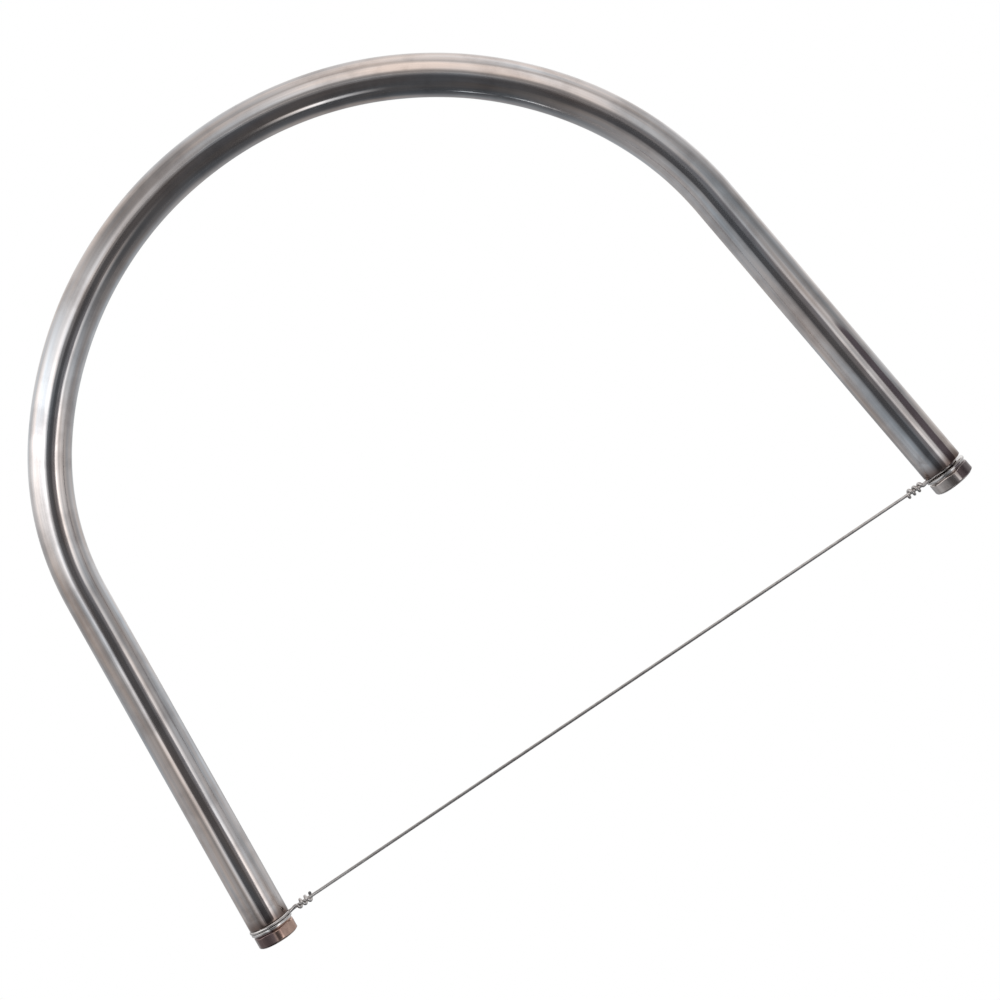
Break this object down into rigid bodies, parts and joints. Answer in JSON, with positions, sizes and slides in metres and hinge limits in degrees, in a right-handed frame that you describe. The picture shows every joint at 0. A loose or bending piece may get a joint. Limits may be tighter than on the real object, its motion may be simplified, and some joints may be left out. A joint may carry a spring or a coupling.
{
  "type": "bow wire cutter",
  "caption": "Hand-held bow cutter: a bent metal tube bow with a thin cutting wire held across its mouth by a hexagon bolt and washer at each end.",
  "frame": {"origin": "middle of the cutter's box in X and Y, at its lowest point, which is the lowest corner of the bolt heads; the bow's plane lies flat", "axes": "+X along the cutting wire, +Y from the wire towards the crown of the bow, +Z normal to the bow's plane"},
  "size_m": [0.24, 0.1994, 0.0133],
  "materials": {
    "tube_steel": "polished stainless tube with fine lengthwise brushing and a faint brown heat tint at its ends",
    "plug_steel": "plain turned steel",
    "washer_steel": "bright pressed stainless",
    "bolt_steel": "forged stainless, smooth, with a brownish tint",
    "wire_steel": "drawn wire, satin"
  },
  "bodies": {
    "bow": {"bow_tube": "tube_steel", "left_end_plug": "plug_steel", "right_end_plug": "plug_steel", "cutting_wire": "wire_steel"},
    "left_washer": {"left_washer": "washer_steel"},
    "left_bolt": {"left_bolt": "bolt_steel"},
    "right_washer": {"right_washer": "washer_steel"},
    "right_bolt": {"right_bolt": "bolt_steel"}
  },
  "joints": [
    {"name": "left_bolt_travel", "type": "slide", "parent": "bow", "child": "left_washer", "axis": [-0.0872, -0.9962, 0], "range_m": [0, 0.005]},
    {"name": "left_bolt_turn", "type": "hinge", "parent": "left_washer", "child": "left_bolt", "pos_m": [-0.11318, -0.09482, 0.00664], "axis": [-0.0872, -0.9962, 0], "range_deg": [0, 1800]},
    {"name": "right_bolt_travel", "type": "slide", "parent": "bow", "child": "right_washer", "axis": [0.1141, -0.9935, 0], "range_m": [0, 0.005]},
    {"name": "right_bolt_turn", "type": "hinge", "parent": "right_washer", "child": "right_bolt", "pos_m": [0.11381, -0.09516, 0.00664], "axis": [0.1141, -0.9935, 0], "range_deg": [0, 1800]}
  ],
  "couplings": [
    {"joint": "left_bolt_travel", "follows": "left_bolt_turn", "m_per_rad": 0.00015915},
    {"joint": "right_bolt_travel", "follows": "right_bolt_turn", "m_per_rad": 0.00015915}
  ]
}
